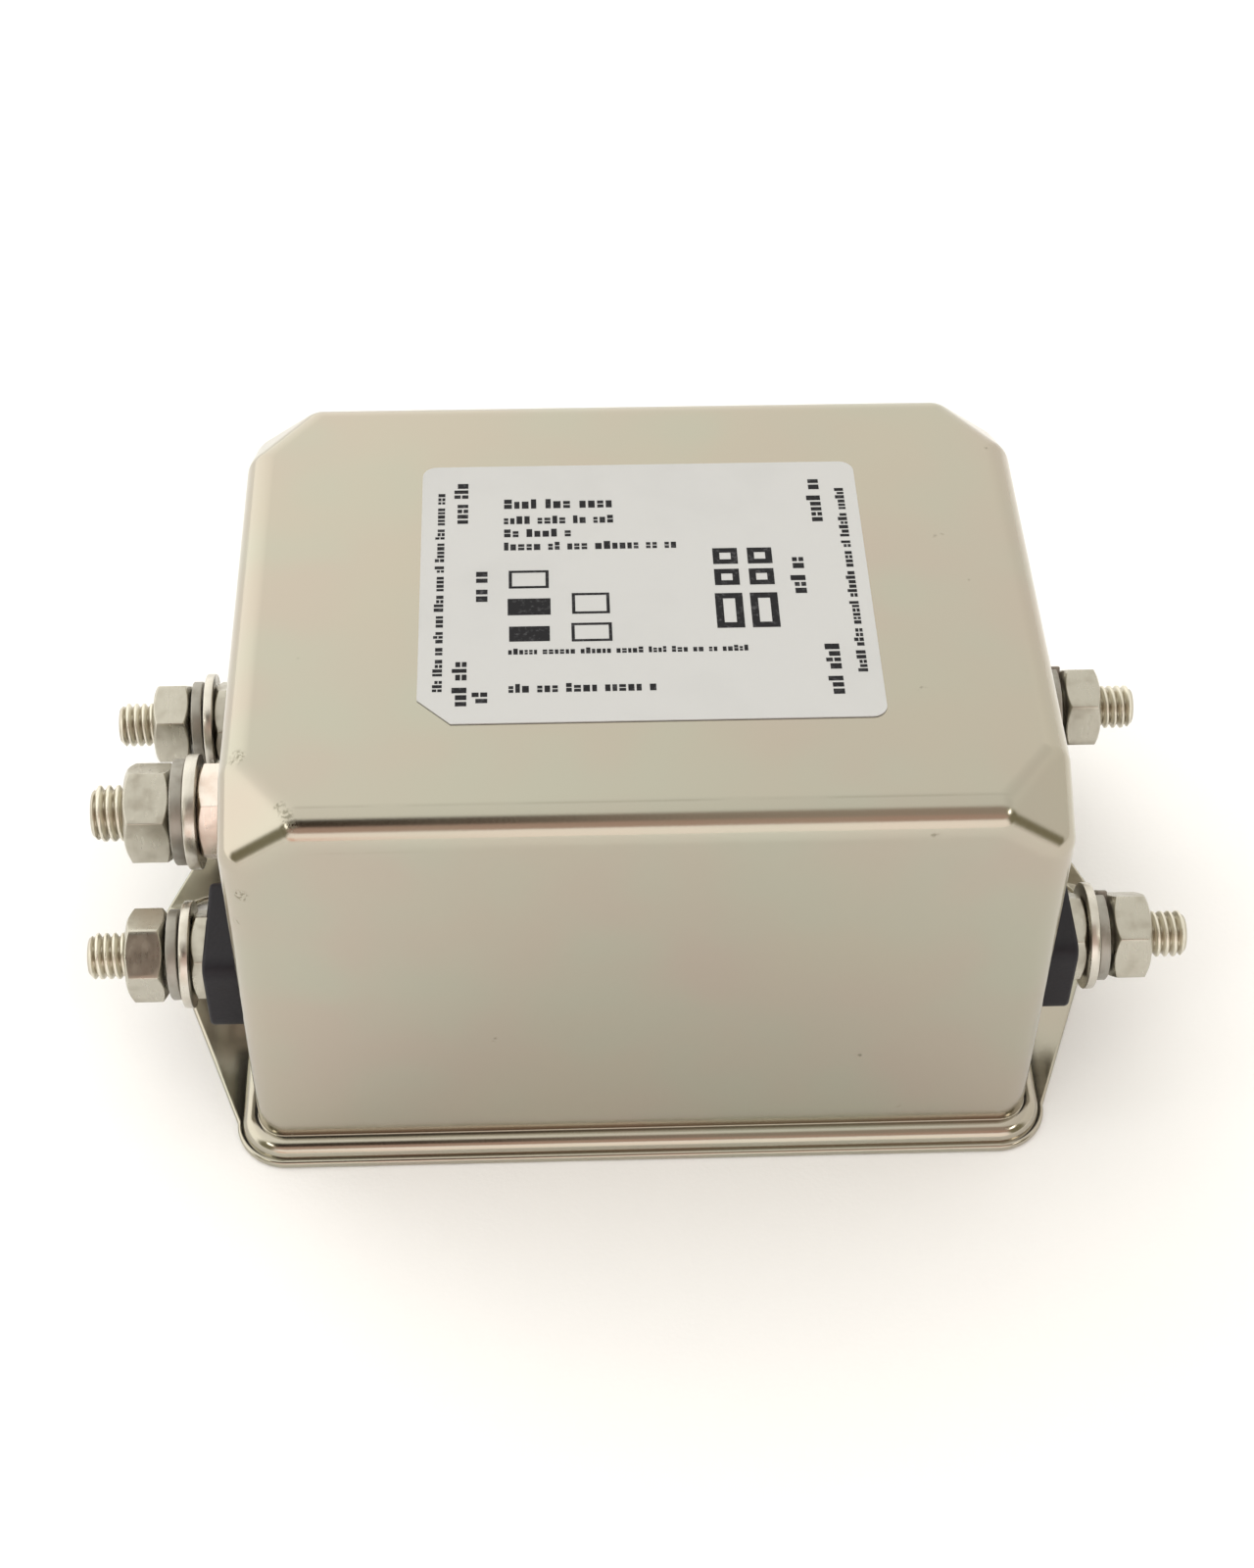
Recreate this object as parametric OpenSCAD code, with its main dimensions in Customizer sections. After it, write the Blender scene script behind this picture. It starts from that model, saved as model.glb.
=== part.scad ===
// Chassis-mounting EMI line filter: a drawn steel can on a base plate with two mounting ears,
// M4 line and load studs on insulating blocks, an M5 earth stud, and a potted common-mode
// choke with its capacitors inside. Millimetres, +Z up, origin at the centre of the mounting
// slots on the underside of the base plate.

/* [Case] */
// Length of the drawn case
case_l = 64.8; // [62:0.1:80]
// Width of the drawn case
case_w = 49.8; // [48:0.1:60]
// Height from the underside of the base plate to the top of the case
case_h = 40.3; // [39.5:0.1:50]
// Thickness of the case sheet
sheet_t = 0.7; // [0.5:0.1:1]
// Outer radius of the drawn edges
edge_r = 2.5; // [1.5:0.1:3]
// Reach of a corner bevel along the length
bevel_l = 7; // [6:0.5:9]
// Reach of a corner bevel along the width
bevel_w = 9; // [6:0.5:10]
// Reach of a corner bevel down the upright edge
bevel_h = 5; // [4:0.5:7]
// How far the rim stands out from the walls
rim_lip = 1.4; // [1:0.1:2]
// Width of the rim's flat foot
rim_foot = 0.7; // [0.5:0.1:0.9]
// Radius of the concave flare above the rim
flare_r = 2.4; // [2.2:0.1:3]
// Height of the flare above the base plate
flare_h = 2.8; // [2.8:0.1:3.4]

/* [Base plate] */
// Thickness of the base plate
plate_t = 0.8; // [0.6:0.1:1.5]
// How far the base plate stands out from the rim
plate_margin = 0.5; // [0.2:0.1:1.5]
// Distance between the centres of the mounting slots
slot_pitch = 75; // [74:0.5:92]
// Width of a mounting slot
slot_w = 5.3; // [4.3:0.1:5.5]
// Length of a mounting slot from end to end
slot_l = 6.3; // [5.6:0.1:7]
// Radius of an ear's tip about the slot's centre
ear_r = 5; // [4.5:0.1:6]

/* [Terminals] */
// Distance between the two studs of one side
stud_pitch = 27; // [26:0.5:30]
// Height of the line and load studs above the mounting face
stud_z = 12.4; // [12:0.1:14]
// Thread diameter of the line and load studs
stud_d = 4; // [3:0.5:4]
// Thread left free beyond the outer nut
stud_free = 3.3; // [2:0.1:8]
// Width of an insulating block
block_w = 10; // [9:0.5:11]
// Height of an insulating block
block_h = 8; // [7.5:0.5:9]
// How far an insulating block stands out from the case
block_t = 3.6; // [2:0.1:5]
// Corner radius of an insulating block
block_r = 1.2; // [0.5:0.1:2]
// Diameter of the block's neck through the wall
neck_d = 7.6; // [6:0.1:8]
// Depth of the thin nut's recess in the block
recess_t = 0.9; // [0.5:0.1:1.3]
// Diameter of an insulating bush inside the wall
bush_d = 11; // [9.5:0.5:12]
// Thickness of an insulating bush
bush_t = 2; // [1:0.1:3]
// Diameter of a stud's head
head_d = 8; // [6:0.5:9]
// Thickness of a stud's head
head_t = 2.2; // [1.5:0.1:3]
// Diameter of a stud's solder tail
tail_d = 3; // [2.5:0.1:3.5]
// Length of a stud's solder tail
tail_l = 3; // [2:0.1:4]

/* [M4 hardware] */
// Size of the nuts across their flats
nut_af = 7; // [6.5:0.1:7.6]
// Height of the outer nuts
nut_h = 3.2; // [2:0.1:4]
// Height of the thin nuts
thin_nut_h = 2.2; // [1.8:0.1:3]
// Diameter of the flat washers
washer_d = 9; // [8:0.1:10]
// Thickness of the flat washers
washer_t = 0.8; // [0.5:0.1:1.5]
// Diameter of the spring washers
spring_d = 7.6; // [7:0.1:8.5]
// Thickness of the spring washers' wire
spring_t = 0.9; // [0.6:0.1:1.4]
// Rise of a spring washer from one end to the other
spring_rise = 0.5; // [0.1:0.1:0.8]

/* [Earth stud] */
// Height of the earth stud above the mounting face
earth_z = 15.3; // [14:0.1:16]
// Thread diameter of the earth stud
earth_d = 5; // [4:0.5:6]
// Thread left free beyond the outer nut
earth_free = 3; // [2:0.1:8]
// Size of the earth nuts across their flats
earth_nut_af = 8; // [7.5:0.1:9]
// Height of the earth nuts
earth_nut_h = 4; // [3:0.1:5]
// Diameter of the flat washer
earth_washer_d = 10; // [9:0.1:11]
// Thickness of the flat washer
earth_washer_t = 1.1; // [0.8:0.1:1.5]
// Diameter of the spring washer
earth_spring_d = 9.2; // [8.5:0.1:10]
// Thickness of the spring washer's wire
earth_spring_t = 1.1; // [0.8:0.1:1.5]
// Rise of the spring washer from one end to the other
earth_spring_rise = 0.1; // [0.1:0.1:0.5]
// Diameter of the toothed washer over its teeth
tooth_d = 9.8; // [9:0.1:10.4]
// Thickness of the toothed washer over its twisted teeth
tooth_t = 1; // [0.8:0.1:1.4]
// Diameter of the stud's head inside the case
earth_head_d = 9; // [8:0.1:10]
// Thickness of the stud's head
earth_head_t = 2.5; // [2:0.1:3.5]

/* [Label] */
// Length of the label
label_l = 36; // [20:1:48]
// Width of the label
label_w = 30; // [15:1:36]
// Thickness of the label
label_t = 0.12; // [0.08:0.01:0.3]
// Offset of the label along the length
label_x = 0.6; // [-1:0.1:1]
// Offset of the label along the width
label_y = 0.5; // [-1:0.1:1]
// Corner radius of the label
label_r = 1.2; // [0.5:0.1:3]
// Size of the label's clipped corner
label_clip = 2.6; // [1:0.1:5]

/* [Choke] */
// Outer diameter of the toroid core
core_d = 34; // [30:0.5:35]
// Bore of the toroid core
core_bore = 20; // [18:0.5:22]
// Height of the toroid core
core_h = 15; // [12:0.5:15.5]
// Radius of the core's rounded edges
core_r = 1; // [0.5:0.1:2]
// Diameter of the winding wire
wire_d = 1.8; // [1.2:0.1:1.9]
// Turns of each winding
turns = 9; // [5:1:9]
// Half angle left free of turns on each side of the divider
free_angle = 25; // [20:1:35]
// Thickness of the divider between the windings
divider_t = 1.5; // [1:0.1:3]

/* [Capacitors and resistor] */
// Thickness of an X capacitor
xcap_t = 8.5; // [6:0.1:9]
// Width of an X capacitor
xcap_w = 26.5; // [20:0.5:28]
// Compound left between an X capacitor and the top of the case
xcap_cover = 2.5; // [2:0.1:6]
// Diameter of a Y capacitor
ycap_d = 9; // [7:0.5:10]
// Thickness of a Y capacitor
ycap_t = 4; // [2.5:0.1:5]
// Distance between the middles of the Y capacitors
ycap_pitch = 13; // [11:0.5:15]
// Diameter of the component legs
leg_d = 0.8; // [0.5:0.1:1]
// Diameter of the bleed resistor
resistor_d = 3.6; // [2:0.1:4.5]
// Length of the bleed resistor
resistor_l = 9; // [6:0.5:11]

/* [Hidden] */

round_fn = 48;          // segments of the plain round pieces
skin_fn = 32;           // segments of the balls that blend the case's edges
cut = 1;                // overshoot of a cutting tool
fit = 0.1;              // radial clearance of a shaft in its hole
thread_grip = 0.89;     // pitch diameter of a thread as a share of its full diameter
thread_gap = 0.15;      // from an outer nut to where the free thread has its full diameter
bend_swell = 1.08;      // how much thicker a wire is at its bends

// Case: the axes of the upright edges, and the places of the balls round each bevel
corner_x = case_l / 2 - edge_r;
corner_y = case_w / 2 - edge_r;
bevel_n = norm([1 / bevel_l, 1 / bevel_w, 1 / bevel_h]);
bevel_x = bevel_l * (1 + edge_r * (bevel_n - 1 / bevel_w - 1 / bevel_h));
bevel_y = bevel_w * (1 + edge_r * (bevel_n - 1 / bevel_l - 1 / bevel_h));
bevel_z = bevel_h * (1 + edge_r * (bevel_n - 1 / bevel_l - 1 / bevel_w));
inner_r = edge_r - sheet_t;
flare_top = plate_t + flare_h;
flare_x = edge_r + flare_r;
rim_step = flare_r - rim_lip + rim_foot / 2;
rim_h = flare_h - sqrt(flare_r * flare_r - rim_step * rim_step);

// Base plate
plate_l = case_l + 2 * (rim_lip + plate_margin);
plate_w = case_w + 2 * (rim_lip + plate_margin);
plate_r = edge_r + rim_lip + plate_margin;

// M4 stack, as heights above the wall's outer face
thin_nut_z = block_t - recess_t;
washer_z = thin_nut_z + thin_nut_h;
spring_z = washer_z + washer_t;
nut_z = spring_z + spring_t + spring_rise;
stud_tip = nut_z + nut_h + stud_free;
stud_seat = sheet_t + bush_t;

// Earth stack, as heights above the wall's outer face
earth_washer_z = tooth_t + earth_nut_h;
earth_spring_z = earth_washer_z + earth_washer_t;
earth_nut_z = earth_spring_z + earth_spring_t + earth_spring_rise;
earth_tip = earth_nut_z + earth_nut_h + earth_free;

// The terminals as [side, row]: side -1 is line and 1 is load, row 1 is phase and -1 neutral
LINE = -1;
LOAD = 1;
PHASE = 1;
NEUTRAL = -1;
TERMINALS = [[LINE, PHASE], [LINE, NEUTRAL], [LOAD, PHASE], [LOAD, NEUTRAL]];

// How far each outer nut, thin nut and earth nut happens to be turned on its thread
nut_turns = [16, -9, -16, -14];
thin_nut_turns = [3, 10, -6, -12];
earth_inner_turn = 23;
earth_nut_turn = 5;

// Choke: the wire's middle line runs round the core's section at wire_gap from it
wire_gap = wire_d / 2 + fit;
bend_r = core_r + wire_gap;
section_x = (core_d + core_bore) / 4;
section_a = (core_d - core_bore) / 4 + wire_gap;
section_b = core_h / 2 + wire_gap;
choke_head = 1.5;       // compound left between the choke and the top of the case
choke_z = case_h - sheet_t - choke_head - section_b - wire_d / 2;
bend_steps = 4;         // rings in each rounded corner of a turn
turn_steps = 4 * bend_steps;
wire_sides = 8;

// Inner ends of the studs, and the parts wired to them
tail_end = case_l / 2 - sheet_t - bush_t - head_t - tail_l;
tail_mid = tail_end + tail_l / 2;
earth_tail_end = case_l / 2 - sheet_t - earth_head_t - tail_l;
xcap_gap = 1.2;         // compound between an X capacitor and the wall
xcap_clear = 0.3;       // compound between an X capacitor and the earth stud's head
xcap_x = case_l / 2 - sheet_t - xcap_gap - xcap_t / 2;
xcap_floor = earth_z + earth_head_d / 2 + xcap_clear;
xcap_h = case_h - sheet_t - xcap_cover - xcap_floor;
xcap_leg_inset = 2;     // from the end of an X capacitor to its leg
lead_drop = 2.5;        // how far the choke's leads run down past the X capacitors
lead_splay = 1.5;       // how far they spread along the case on the way
lead_back = 3.5;        // straight stretch of a lead in front of its tail
ycap_back = 8.5;        // from the ends of the studs' tails to the Y capacitors
ycap_x = tail_end - ycap_back;
ycap_z = 8;
resistor_back = 4.5;    // from the ends of the studs' tails to the bleed resistor
resistor_x = tail_end - resistor_back;
resistor_z = 7;
leg_step = 2.5;         // half the spacing of a Y capacitor's legs
leg_bend = 2;           // straight stretch of a leg before its bend

steel = [0.78, 0.76, 0.70];
plated = [0.80, 0.79, 0.75];
grey_steel = [0.52, 0.52, 0.50];
black_plastic = [0.12, 0.12, 0.13];
copper = [0.72, 0.38, 0.20];

// ---------------------------------------------------------------- shared shapes

// Rectangle with rounded corners about the origin, a along X and b along Y
module rounded_rect(a, b, r) {
    square([a - 2 * r, b], center = true);
    square([a, b - 2 * r], center = true);
    for (sx = [-1, 1], sy = [-1, 1])
        translate([sx * (a / 2 - r), sy * (b / 2 - r)])
            circle(r, $fn = round_fn);
}

// Ball with points on its poles and its equator, so that a hull of balls keeps its full size
module ball(r) {
    step = 360 / skin_fn;
    rotate_extrude($fn = skin_fn)
        polygon([for (a = [-90 : step : 90]) [r * cos(a), r * sin(a)]]);
}

// Plain ring, such as a flat washer
module ring(d_out, d_in, t) {
    difference() {
        cylinder(d = d_out, h = t, $fn = round_fn);
        translate([0, 0, -cut])
            cylinder(d = d_in, h = t + 2 * cut, $fn = round_fn);
    }
}

// Hexagon nut with both faces chamfered, a corner at the given turn from its own X axis
module nut(af, h, bore, turn) {
    corner = af / 2 / cos(30);
    face = af / 2 * 0.94;
    clear = corner + fit;
    fall = (clear - face) * tan(30);
    difference() {
        intersection() {
            rotate(turn)
                cylinder(r = corner, h = h, $fn = 6);
            rotate_extrude($fn = round_fn)
                polygon([[0, 0], [face, 0], [clear, fall], [clear, h - fall], [face, h], [0, h]]);
        }
        translate([0, 0, -cut])
            cylinder(d = bore, h = h + 2 * cut, $fn = round_fn);
    }
}

// Split spring washer: a square wire bent into one turn that rises from end to end
module spring_washer(d_out, d_in, t, rise) {
    steps = 28;
    gap = 14;
    ri = d_in / 2;
    ro = d_out / 2;
    section = [[ri, 0], [ro, 0], [ro, t], [ri, t]];
    points = [
        for (i = [0 : steps], p = section)
            let (a = gap / 2 + (360 - gap) * i / steps)
                [p.x * cos(a), p.x * sin(a), p.y + rise * i / steps]
    ];
    sides = [
        for (i = [0 : steps - 1], k = [0 : 3])
            let (a = 4 * i + k, b = 4 * i + (k + 1) % 4)
                [a, b, b + 4, a + 4]
    ];
    polyhedron(points, concat([[3, 2, 1, 0]], sides, [[for (k = [0 : 3]) 4 * steps + k]]));
}

// Straight round rod between two points
module rod(p, q, d) {
    v = q - p;
    translate(p)
        rotate([0, acos(v.z / norm(v)), atan2(v.y, v.x)])
            cylinder(d = d, h = norm(v), $fn = 16);
}

// Bent wire along a list of points. A ball a little thicker than the wire rounds each bend.
module wire(points, d) {
    for (i = [1 : len(points) - 1])
        rod(points[i - 1], points[i], d);
    for (i = [1 : len(points) - 2])
        translate(points[i])
            sphere(d = bend_swell * d, $fn = 16);
}

// Places a piece with its +Z pointing out of a side wall, at z = 0 on the wall's outer face
module on_wall(side, y, z) {
    translate([side * case_l / 2, y, z])
        rotate([0, side * 90, 0])
            children();
}

// Places a piece at one line or load terminal
module at_terminal(t) {
    on_wall(t[0], t[1] * stud_pitch / 2, stud_z)
        children();
}

// ---------------------------------------------------------------- case and base

// The rounded box with bevelled top corners. Both skins of the sheet share the ball centres.
module drawn_box(skin_r, floor_z) {
    hull()
        for (sx = [-1, 1], sy = [-1, 1]) {
            translate([sx * corner_x, sy * corner_y, floor_z])
                cylinder(r = skin_r, h = case_h - bevel_z - floor_z, $fn = skin_fn);
            translate([sx * corner_x, sy * corner_y, case_h - bevel_z])
                ball(skin_r);
            translate([sx * (case_l / 2 - bevel_x), sy * corner_y, case_h - edge_r])
                ball(skin_r);
            translate([sx * corner_x, sy * (case_w / 2 - bevel_y), case_h - edge_r])
                ball(skin_r);
        }
}

// Carries a profile round the case: its X runs outwards from the axis of the upright edges
module round_the_case() {
    for (side = [0, 1])
        rotate(180 * side) {
            translate([-corner_x, corner_y, 0])
                rotate([90, 0, 90])
                    linear_extrude(2 * corner_x)
                        children();
            translate([corner_x, corner_y, 0])
                rotate([90, 0, 0])
                    linear_extrude(2 * corner_y)
                        children();
            translate([corner_x, corner_y, 0])
                rotate_extrude(angle = 90, $fn = round_fn)
                    children();
            translate([-corner_x, corner_y, 0])
                rotate(90)
                    rotate_extrude(angle = 90, $fn = round_fn)
                        children();
        }
}

// Section of the flared rim: the wall sweeps outwards and ends in a rounded lip
module rim_profile() {
    difference() {
        translate([inner_r, plate_t])
            square([sheet_t + rim_lip - rim_foot / 2, flare_h]);
        translate([flare_x, flare_top])
            circle(flare_r, $fn = 96);
    }
    translate([edge_r + rim_lip - rim_h / 2, plate_t + rim_h / 2])
        circle(d = rim_h, $fn = round_fn);
}

// Space under the flare, where the sheet has left the straight wall
module under_flare_profile() {
    difference() {
        translate([inner_r - fit, plate_t - cut])
            square([sheet_t + fit + rim_lip - rim_foot, flare_h + cut]);
        translate([flare_x, flare_top])
            circle(flare_r + sheet_t, $fn = 96);
    }
}

module case() {
    color(steel)
        difference() {
            union() {
                drawn_box(edge_r, plate_t);
                round_the_case()
                    rim_profile();
            }
            drawn_box(inner_r, plate_t - cut);
            round_the_case()
                under_flare_profile();
            for (t = TERMINALS)
                at_terminal(t)
                    translate([0, 0, -sheet_t - cut])
                        cylinder(d = neck_d + 2 * fit, h = sheet_t + 2 * cut, $fn = round_fn);
            on_wall(LINE, 0, earth_z)
                translate([0, 0, -sheet_t - cut])
                    cylinder(d = earth_d + 2 * fit, h = sheet_t + 2 * cut, $fn = round_fn);
        }
}

// One ear: straight flanks from the plate's corners to a round tip about the slot's centre
module ear() {
    tip = [slot_pitch / 2, 0];
    base = [plate_l / 2, plate_w / 2 - plate_r];
    reach = norm(tip - base);
    heading = atan2(tip.y - base.y, tip.x - base.x) + asin(ear_r / reach);
    touch = base + sqrt(reach * reach - ear_r * ear_r) * [cos(heading), sin(heading)];
    root_x = base.x - plate_r;
    polygon([[root_x, base.y], base, touch, [touch.x, -touch.y], [base.x, -base.y], [root_x, -base.y]]);
    translate(tip)
        circle(ear_r, $fn = round_fn);
}

module slot() {
    straight = slot_l - slot_w;
    square([straight, slot_w], center = true);
    for (s = [-1, 1])
        translate([s * straight / 2, 0])
            circle(d = slot_w, $fn = round_fn);
}

module base_plate() {
    color(steel)
        difference() {
            union() {
                linear_extrude(plate_t)
                    rounded_rect(plate_l, plate_w, plate_r);
                for (turn = [0, 180])
                    rotate(turn)
                        linear_extrude(plate_t)
                            ear();
            }
            for (s = [-1, 1])
                translate([s * slot_pitch / 2, 0, -cut])
                    linear_extrude(plate_t + 2 * cut)
                        slot();
        }
}

module label() {
    color("white")
        translate([label_x, label_y, case_h])
            linear_extrude(label_t)
                difference() {
                    rounded_rect(label_l, label_w, label_r);
                    translate([-label_l / 2, -label_w / 2])
                        rotate(45)
                            square(label_clip * sqrt(2), center = true);
                }
}

// ---------------------------------------------------------------- line and load terminals

// Moulded block with a neck through the wall and a round recess that takes the thin nut
module insulator(t) {
    color(black_plastic)
        at_terminal(t)
            difference() {
                union() {
                    linear_extrude(block_t)
                        rounded_rect(block_h, block_w, block_r);
                    translate([0, 0, -sheet_t])
                        cylinder(d = neck_d, h = sheet_t + block_t / 2, $fn = round_fn);
                }
                translate([0, 0, -sheet_t - cut])
                    cylinder(d = stud_d + 2 * fit, h = sheet_t + block_t + 2 * cut, $fn = round_fn);
                translate([0, 0, thin_nut_z])
                    cylinder(d = nut_af / cos(30) + 2 * fit, h = recess_t + cut, $fn = round_fn);
            }
}

module inner_bushes() {
    color([0.85, 0.82, 0.72])
        for (t = TERMINALS)
            at_terminal(t)
                translate([0, 0, -stud_seat])
                    ring(bush_d, stud_d + 2 * fit, bush_t);
}

// Turned stud: solder tail, head, shank and a free thread with a chamfered tip. The shank has
// the thread's pitch diameter, which is also the bore of the nuts on it.
module stud(d, seat, head, head_h, free_from, tip) {
    chamfer = d / 10;
    grip_r = thread_grip * d / 2;
    rotate_extrude($fn = round_fn)
        polygon([
            [0, -seat - head_h - tail_l],
            [tail_d / 2, -seat - head_h - tail_l],
            [tail_d / 2, -seat - head_h],
            [head / 2, -seat - head_h],
            [head / 2, -seat],
            [grip_r, -seat],
            [grip_r, free_from],
            [d / 2, free_from],
            [d / 2, tip - chamfer],
            [d / 2 - chamfer, tip],
            [0, tip]
        ]);
}

module terminal_studs() {
    color(plated)
        for (t = TERMINALS)
            at_terminal(t)
                stud(stud_d, stud_seat, head_d, head_t, nut_z + nut_h + thread_gap, stud_tip);
}

module thin_nuts() {
    color(plated)
        for (i = [0 : len(TERMINALS) - 1])
            at_terminal(TERMINALS[i])
                translate([0, 0, thin_nut_z])
                    nut(nut_af, thin_nut_h, thread_grip * stud_d, thin_nut_turns[i]);
}

module flat_washers() {
    color(plated)
        for (t = TERMINALS)
            at_terminal(t)
                translate([0, 0, washer_z])
                    ring(washer_d, stud_d + 3 * fit, washer_t);
}

module spring_washers() {
    color(grey_steel)
        for (t = TERMINALS)
            at_terminal(t)
                translate([0, 0, spring_z])
                    spring_washer(spring_d, stud_d + 2 * fit, spring_t, spring_rise);
}

module terminal_nuts() {
    color(plated)
        for (i = [0 : len(TERMINALS) - 1])
            at_terminal(TERMINALS[i])
                translate([0, 0, nut_z])
                    nut(nut_af, nut_h, thread_grip * stud_d, nut_turns[i]);
}

// ---------------------------------------------------------------- earth stud

module at_earth(z) {
    on_wall(LINE, 0, earth_z)
        translate([0, 0, z])
            children();
}

module earth_stud() {
    free_from = earth_nut_z + earth_nut_h + thread_gap;
    color(plated)
        at_earth(0)
            stud(earth_d, sheet_t, earth_head_d, earth_head_t, free_from, earth_tip);
}

// Flat ring with teeth that stand twisted to both sides of it
module earth_tooth_washer() {
    teeth = 12;
    body_t = 0.6 * tooth_t;
    root_d = 0.78 * tooth_d;
    twist = 20;
    tooth_l = (tooth_d - root_d) / 2 + 2 * fit;
    tooth_w = (tooth_t - body_t * cos(twist)) / sin(twist);
    color(grey_steel)
        at_earth(tooth_t / 2) {
            translate([0, 0, -body_t / 2])
                ring(root_d, earth_d + 2 * fit, body_t);
            for (i = [0 : teeth - 1])
                rotate(360 / teeth * i)
                    translate([root_d / 2 + tooth_l / 2 - 2 * fit, 0, 0])
                        rotate([twist, 0, 0])
                            cube([tooth_l, tooth_w, body_t], center = true);
        }
}

module earth_inner_nut() {
    color(plated)
        at_earth(tooth_t)
            nut(earth_nut_af, earth_nut_h, thread_grip * earth_d, earth_inner_turn);
}

module earth_flat_washer() {
    color(plated)
        at_earth(earth_washer_z)
            ring(earth_washer_d, earth_d + 3 * fit, earth_washer_t);
}

module earth_spring_washer() {
    color(grey_steel)
        at_earth(earth_spring_z)
            spring_washer(earth_spring_d, earth_d + 2 * fit, earth_spring_t, earth_spring_rise);
}

module earth_nut() {
    color(plated)
        at_earth(earth_nut_z)
            nut(earth_nut_af, earth_nut_h, thread_grip * earth_d, earth_nut_turn);
}

// ---------------------------------------------------------------- choke

// Ring about the choke's axis with a rounded rectangular section
module choke_ring(inner, outer, h, r) {
    translate([0, 0, choke_z])
        rotate_extrude($fn = 96)
            translate([(inner + outer) / 2, 0])
                rounded_rect(outer - inner, h, r);
}

module choke_core() {
    color([0.20, 0.22, 0.24])
        choke_ring(core_bore / 2, core_d / 2, core_h, core_r);
}

module choke_divider() {
    half = sqrt(core_bore * core_bore - divider_t * divider_t) / 2;
    color([0.88, 0.86, 0.80])
        translate([-half, -divider_t / 2, choke_z - core_h / 2])
            cube([2 * half, divider_t, core_h]);
}

// Middle of the wire at ring i of the winding, as [radius, height, bend angle]
function wire_place(i) =
    let (
        corner = (floor(i / bend_steps) + 3) % 4,
        a = 90 * corner + 90 * (i % bend_steps) / (bend_steps - 1),
        sx = corner == 0 || corner == 3 ? 1 : -1,
        sz = corner < 2 ? 1 : -1
    )
    [
        section_x + sx * (section_a - bend_r) + bend_r * cos(a),
        sz * (section_b - bend_r) + bend_r * sin(a),
        a
    ];

first_ring = bend_steps - 1;
last_ring = turn_steps * turns;
function wire_turn(i) =
    180 - free_angle - (180 - 2 * free_angle) * (i - first_ring) / (last_ring - first_ring);
function wire_middle(i) =
    let (w = wire_place(i), f = wire_turn(i))
    [w[0] * cos(f), w[0] * sin(f), choke_z + w[1]];

// The turns of one winding, swept round the core as one tube
module winding_turns() {
    rings = last_ring - first_ring;
    points = [
        for (i = [first_ring : last_ring], k = [0 : wire_sides - 1])
            let (
                w = wire_place(i),
                f = wire_turn(i),
                b = 360 / wire_sides * (k + 0.5),
                out = wire_d / 2 * cos(b),
                along = wire_d / 2 * sin(b),
                radius = w[0] + out * cos(w[2])
            )
            [
                radius * cos(f) - along * sin(f),
                radius * sin(f) + along * cos(f),
                choke_z + w[1] + out * sin(w[2])
            ]
    ];
    sides = [
        for (i = [0 : rings - 1], k = [0 : wire_sides - 1])
            let (a = wire_sides * i + k, b = wire_sides * i + (k + 1) % wire_sides)
                [a, a + wire_sides, b + wire_sides, b]
    ];
    polyhedron(points, concat(
        [[for (k = [0 : wire_sides - 1]) k]],
        sides,
        [[for (k = [wire_sides - 1 : -1 : 0]) wire_sides * rings + k]]
    ));
}

// Where the wire leaves the choke on one side
function lead_start(side) = wire_middle(side == LINE ? first_ring : last_ring);

// One lead, down from the choke and out to the phase stud's tail, and as far into it as stated
module lead(side, into) {
    start = lead_start(side);
    wire([
        start,
        [start.x + side * lead_splay, start.y, xcap_floor - lead_drop],
        [side * (tail_end - lead_back), stud_pitch / 2, stud_z],
        [side * (tail_end + into), stud_pitch / 2, stud_z]
    ], wire_d);
}

module winding() {
    winding_turns();
    for (side = [LINE, LOAD]) {
        translate(lead_start(side))
            sphere(d = bend_swell * wire_d, $fn = 16);
        lead(side, 0);
    }
}

module choke_winding_phase() {
    color(copper)
        winding();
}

module choke_winding_neutral() {
    color(copper)
        mirror([0, 1, 0])
            winding();
}

// ---------------------------------------------------------------- capacitors and resistor

// The solder tails of one side's studs, which the legs are soldered against
module tails(side) {
    for (row = [PHASE, NEUTRAL])
        at_terminal([side, row])
            translate([0, 0, -stud_seat - head_t - tail_l])
                cylinder(d = tail_d, h = tail_l, $fn = round_fn);
}

// Box capacitor on edge, with its legs run on to the middle of the tails
module x_capacitor_blank(side) {
    leg_y = xcap_w / 2 - xcap_leg_inset;
    translate([side * xcap_x, 0, xcap_floor + xcap_h / 2])
        cube([xcap_t, xcap_w, xcap_h], center = true);
    for (row = [PHASE, NEUTRAL])
        wire([
            [side * tail_mid, row * leg_y, xcap_floor + leg_d],
            [side * tail_mid, row * leg_y, xcap_floor - leg_d],
            [side * tail_mid, row * stud_pitch / 2, stud_z + tail_d / 2 + leg_d],
            [side * tail_mid, row * stud_pitch / 2, stud_z]
        ], leg_d);
}

module x_capacitor(side) {
    color([0.90, 0.80, 0.25])
        difference() {
            x_capacitor_blank(side);
            tails(side);
        }
}

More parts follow.
